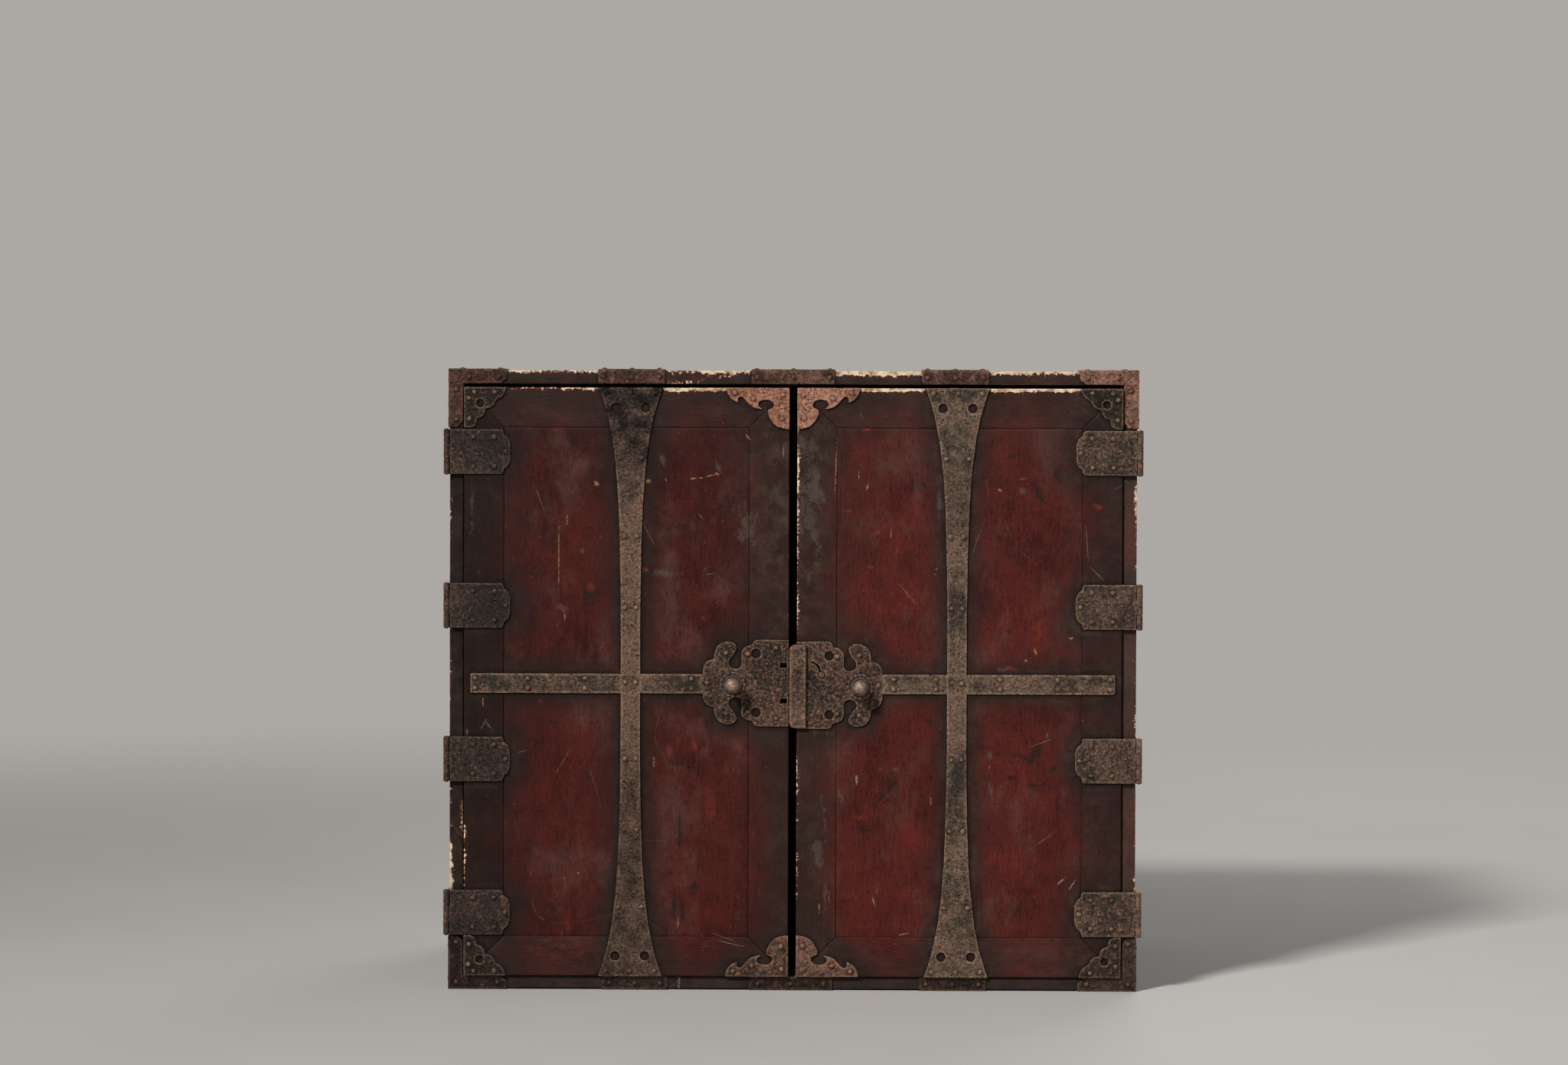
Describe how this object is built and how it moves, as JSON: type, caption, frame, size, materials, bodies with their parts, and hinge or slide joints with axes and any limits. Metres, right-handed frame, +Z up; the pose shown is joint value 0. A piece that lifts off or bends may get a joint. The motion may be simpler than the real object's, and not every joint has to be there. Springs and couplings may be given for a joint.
{
  "type": "sea chest",
  "caption": "Low wooden sea chest with framed double doors on pin hinges, scrolled wrought-iron plates and bands, ball knobs, a cover strip and a sliding lock bolt.",
  "frame": {"origin": "middle of the whole chest's footprint, on the surface that it stands on", "axes": "+Z up, the doors face -Y, +X to the right as seen from the front"},
  "size_m": [0.9132, 0.5002, 0.813],
  "materials": {
    "door_lacquer": "worn dark red lacquer over wood, blackened round the iron",
    "case_lacquer": "worn black-brown lacquer with bare wood at the arrises",
    "bare_wood": "aged unfinished softwood",
    "case_iron": "forged sheet iron, even red-brown rust",
    "band_iron": "forged sheet iron, mottled brown and dark rust",
    "plate_iron": "forged sheet iron, dark with rust speckle",
    "knob_iron": "forged iron rubbed smooth and brown"
  },
  "bodies": {
    "case": {"case_top_board": "case_lacquer", "case_bottom_board": "case_lacquer", "case_side_left": "case_lacquer", "case_side_right": "case_lacquer", "case_back_panel": "bare_wood", "case_shelf": "bare_wood", "corner_iron_bottom_left": "case_iron", "corner_iron_bottom_right": "case_iron", "corner_iron_top_left": "case_iron", "corner_iron_top_right": "case_iron", "back_iron_left": "case_iron", "back_iron_right": "case_iron", "top_strap_left": "case_iron", "top_strap_middle": "case_iron", "top_strap_right": "case_iron", "hinge_case_leaf_left_1": "plate_iron", "hinge_case_leaf_left_2": "plate_iron", "hinge_case_leaf_left_3": "plate_iron", "hinge_case_leaf_left_4": "plate_iron", "hinge_case_leaf_right_1": "plate_iron", "hinge_case_leaf_right_2": "plate_iron", "hinge_case_leaf_right_3": "plate_iron", "hinge_case_leaf_right_4": "plate_iron"},
    "left_door": {"door_left_panel": "door_lacquer", "door_left_stile_meeting": "door_lacquer", "door_left_stile_hinge": "door_lacquer", "door_left_rail_bottom": "door_lacquer", "door_left_rail_top": "door_lacquer", "upright_band_left": "band_iron", "level_band_left": "band_iron", "step_plate_top_left": "plate_iron", "step_plate_bottom_left": "plate_iron", "scroll_plate_top_left": "plate_iron", "scroll_plate_bottom_left": "plate_iron", "lock_plate_left": "plate_iron", "knob_left": "knob_iron", "hinge_door_leaf_left_1": "plate_iron", "hinge_door_leaf_left_2": "plate_iron", "hinge_door_leaf_left_3": "plate_iron", "hinge_door_leaf_left_4": "plate_iron"},
    "right_door": {"door_right_panel": "door_lacquer", "door_right_stile_meeting": "door_lacquer", "door_right_stile_hinge": "door_lacquer", "door_right_rail_bottom": "door_lacquer", "door_right_rail_top": "door_lacquer", "upright_band_right": "band_iron", "level_band_right": "band_iron", "step_plate_top_right": "plate_iron", "step_plate_bottom_right": "plate_iron", "scroll_plate_top_right": "plate_iron", "scroll_plate_bottom_right": "plate_iron", "lock_plate_right": "plate_iron", "knob_right": "knob_iron", "hinge_door_leaf_right_1": "plate_iron", "hinge_door_leaf_right_2": "plate_iron", "hinge_door_leaf_right_3": "plate_iron", "hinge_door_leaf_right_4": "plate_iron", "lock_cover_strip": "plate_iron", "lock_key_post": "plate_iron"},
    "lock_bolt": {"lock_bolt": "plate_iron"}
  },
  "joints": [
    {"name": "left_door_hinge", "type": "hinge", "parent": "case", "child": "left_door", "pos_m": [-0.4529, -0.219, 0.403], "axis": [0, 0, -1], "range_deg": [0, 255]},
    {"name": "right_door_hinge", "type": "hinge", "parent": "case", "child": "right_door", "pos_m": [0.4529, -0.219, 0.403], "axis": [0, 0, 1], "range_deg": [0, 255]},
    {"name": "lock_bolt_slide", "type": "slide", "parent": "right_door", "child": "lock_bolt", "axis": [-1, 0, 0], "range_m": [0, 0.018]}
  ]
}
